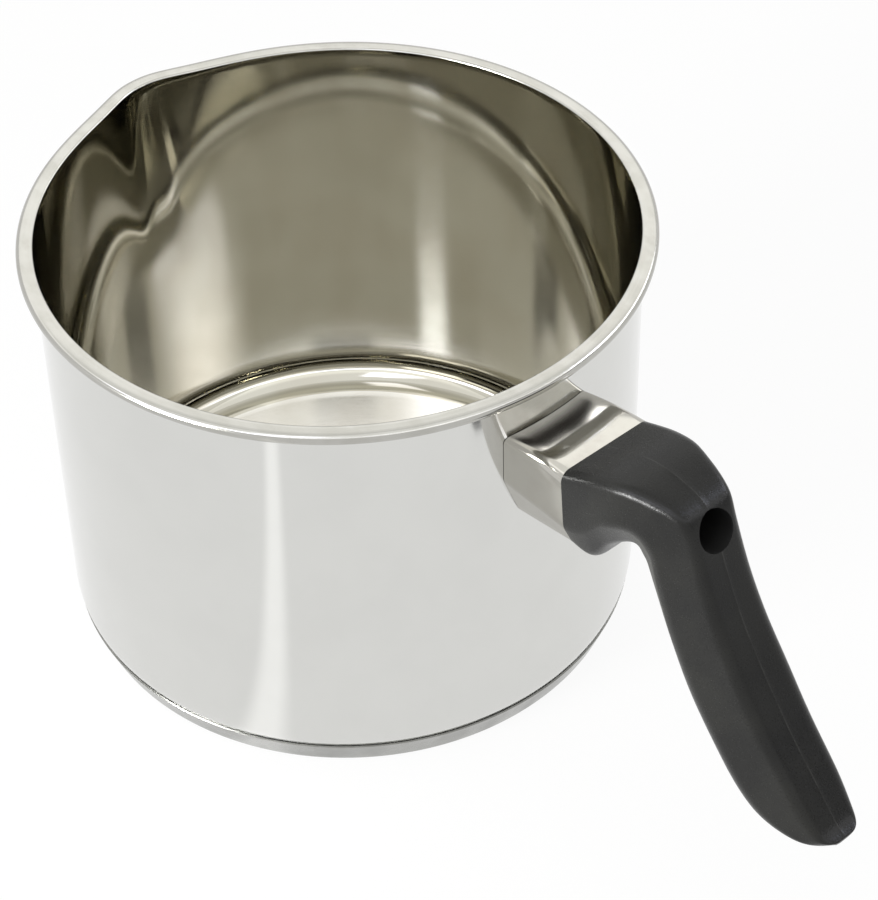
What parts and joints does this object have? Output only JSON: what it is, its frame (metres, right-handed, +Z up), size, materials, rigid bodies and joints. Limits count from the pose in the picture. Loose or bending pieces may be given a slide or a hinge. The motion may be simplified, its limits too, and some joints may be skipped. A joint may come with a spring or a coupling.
{
  "type": "milk pan",
  "caption": "Milk pan with a straight polished wall, a rolled lip with a pouring spout, a capsule base and a screwed-on moulded handle behind a bright flame guard.",
  "frame": {"origin": "centre of the vessel's axis at the underside of the base, where the pan stands", "axes": "+Z up, +X from the vessel's axis towards the handle, -X towards the pouring spout, +Y to the side"},
  "size_m": [0.2432, 0.148, 0.11],
  "materials": {
    "polished_steel": "mirror-polished drawn stainless steel",
    "base_steel": "turned and polished stainless steel capsule",
    "core_aluminium": "rolled aluminium sheet, brazed",
    "guard_steel": "mirror-polished bent stainless sheet",
    "black_phenolic": "moulded phenolic resin, satin black",
    "bracket_steel": "stamped stainless steel, spot-welded",
    "plated_steel": "zinc-plated steel"
  },
  "bodies": {
    "root": {"pan_body": "polished_steel", "base_cap": "base_steel", "base_core": "core_aluminium", "flame_guard": "guard_steel", "handle": "black_phenolic", "handle_bracket": "bracket_steel", "weld_nut": "plated_steel", "flat_washer": "plated_steel", "spring_washer": "plated_steel", "handle_screw": "plated_steel"}
  },
  "joints": []
}
